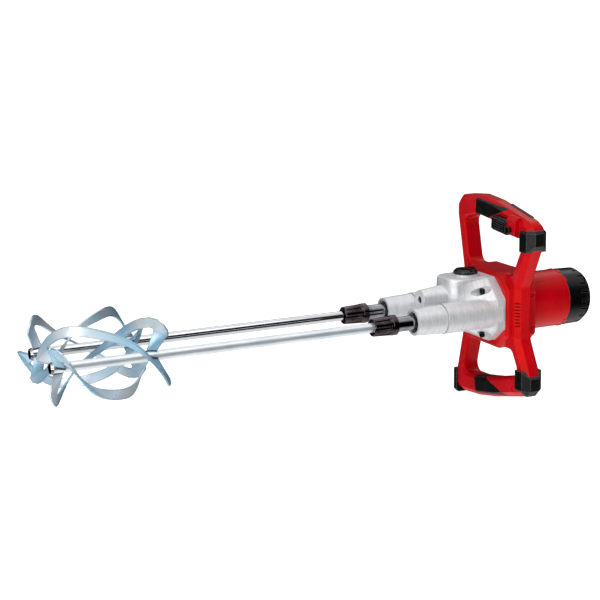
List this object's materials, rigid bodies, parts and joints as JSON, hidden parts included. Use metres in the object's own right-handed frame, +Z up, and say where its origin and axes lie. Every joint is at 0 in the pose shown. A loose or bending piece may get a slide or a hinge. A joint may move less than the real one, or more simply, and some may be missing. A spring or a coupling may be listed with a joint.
{
  "type": "mixing drill",
  "caption": "Hand held mixing drill: counter-rotating stirrer rods with twisted paddles, a cast gearbox, a motor housing and a closed handle frame with a trigger.",
  "frame": {"origin": "centre of the flat rear face of the motor end cap, on the motor's axis", "axes": "+X along the motor and rods towards the paddles, +Z up to the switch grip, +Y to the side that the picture shows"},
  "size_m": [0.9856, 0.246, 0.3641],
  "materials": {
    "red_plastic": "fine moulded grain, deep red",
    "black_plastic": "moulded black",
    "sleeve_plastic": "glossy black",
    "black_rubber": "soft black grip rubber",
    "cast_aluminium": "pale blasted casting",
    "steel": "machined",
    "laminated_steel": "stacked sheet",
    "copper": "bare copper",
    "chromed_steel": "bright plated",
    "zinc_plated_steel": "pale bluish zinc"
  },
  "bodies": {
    "machine": {"motor_housing": "red_plastic", "handle_front_shell": "red_plastic", "handle_rear_shell": "red_plastic", "motor_end_cap": "black_plastic", "switch_body": "black_plastic", "brush_holders": "black_plastic", "carbon_brushes": "black_plastic", "upper_grip_pad": "black_rubber", "lower_grip_pad": "black_rubber", "upper_near_bumper": "black_rubber", "upper_far_bumper": "black_rubber", "lower_near_bumper": "black_rubber", "lower_far_bumper": "black_rubber", "cord_inlet": "black_rubber", "oil_seals": "black_rubber", "gearbox_case": "cast_aluminium", "gearbox_cover": "cast_aluminium", "bearing_plate": "cast_aluminium", "countershaft_plug": "steel", "gearbox_screws": "steel", "cap_screws": "steel", "handle_screws": "steel", "shaft_bearings": "steel", "spindle_bearings": "steel", "motor_bearings": "steel", "stator_core": "laminated_steel", "field_coils": "copper"},
    "near_stirrer": {"near_spindle": "steel", "near_spindle_gear": "steel", "near_stirrer_rod": "chromed_steel", "near_rod_end_disc": "zinc_plated_steel", "near_blade_1": "zinc_plated_steel", "near_blade_2": "zinc_plated_steel", "near_blade_3": "zinc_plated_steel"},
    "far_stirrer": {"far_spindle": "steel", "far_spindle_gear": "steel", "far_stirrer_rod": "chromed_steel", "far_rod_end_disc": "zinc_plated_steel", "far_blade_1": "zinc_plated_steel", "far_blade_2": "zinc_plated_steel", "far_blade_3": "zinc_plated_steel"},
    "near_sleeve": {"near_release_sleeve": "sleeve_plastic"},
    "far_sleeve": {"far_release_sleeve": "sleeve_plastic"},
    "rotor": {"armature_shaft": "steel", "armature_core": "laminated_steel", "commutator": "copper", "cooling_fan": "black_plastic"},
    "counter_gears": {"countershaft": "steel", "first_stage_wheel": "steel"},
    "drive_gears": {"drive_shaft": "steel", "second_stage_wheel": "steel"},
    "idler_gear": {"idler_shaft": "steel"},
    "trigger": {"trigger": "black_plastic"},
    "lock_button": {"lock_button": "black_plastic"},
    "selector_knob": {"selector_knob": "black_plastic"}
  },
  "joints": [
    {"name": "far_spin", "type": "hinge", "parent": "machine", "child": "far_stirrer", "pos_m": [0.2, -0.0515, 0], "axis": [1, 0, 0], "continuous": true},
    {"name": "near_spin", "type": "hinge", "parent": "machine", "child": "near_stirrer", "pos_m": [0.2, 0.0515, 0], "axis": [1, 0, 0], "continuous": true},
    {"name": "drive_spin", "type": "hinge", "parent": "machine", "child": "drive_gears", "pos_m": [0.2, -0.0165, 0.00843], "axis": [1, 0, 0], "continuous": true},
    {"name": "idler_spin", "type": "hinge", "parent": "machine", "child": "idler_gear", "pos_m": [0.2, 0.0165, 0.00843], "axis": [1, 0, 0], "continuous": true},
    {"name": "counter_spin", "type": "hinge", "parent": "machine", "child": "counter_gears", "pos_m": [0.2, 0, 0.024], "axis": [1, 0, 0], "continuous": true},
    {"name": "rotor_spin", "type": "hinge", "parent": "machine", "child": "rotor", "pos_m": [0.2, 0, 0], "axis": [1, 0, 0], "continuous": true},
    {"name": "near_sleeve_pull", "type": "slide", "parent": "near_stirrer", "child": "near_sleeve", "axis": [-1, 0, 0], "range_m": [0, 0.008], "stiffness_N_per_m": 700, "springref_m": -0.002},
    {"name": "far_sleeve_pull", "type": "slide", "parent": "far_stirrer", "child": "far_sleeve", "axis": [-1, 0, 0], "range_m": [0, 0.008], "stiffness_N_per_m": 700, "springref_m": -0.002},
    {"name": "trigger_press", "type": "slide", "parent": "machine", "child": "trigger", "axis": [-1, 0, 0], "range_m": [0, 0.006], "stiffness_N_per_m": 900, "springref_m": -0.002},
    {"name": "lock_press", "type": "slide", "parent": "machine", "child": "lock_button", "axis": [-1, 0, 0], "range_m": [0, 0.003], "stiffness_N_per_m": 500, "springref_m": -0.002},
    {"name": "speed_select", "type": "hinge", "parent": "machine", "child": "selector_knob", "pos_m": [0.227, 0, 0.058], "axis": [0, 0, 1], "range_deg": [0, 180]}
  ],
  "couplings": [
    {"joint": "near_spin", "follows": "far_spin", "ratio": -1},
    {"joint": "drive_spin", "follows": "far_spin", "ratio": -1.1818},
    {"joint": "idler_spin", "follows": "far_spin", "ratio": 1.1818},
    {"joint": "counter_spin", "follows": "far_spin", "ratio": 4.1364},
    {"joint": "rotor_spin", "follows": "far_spin", "ratio": -17.924}
  ]
}
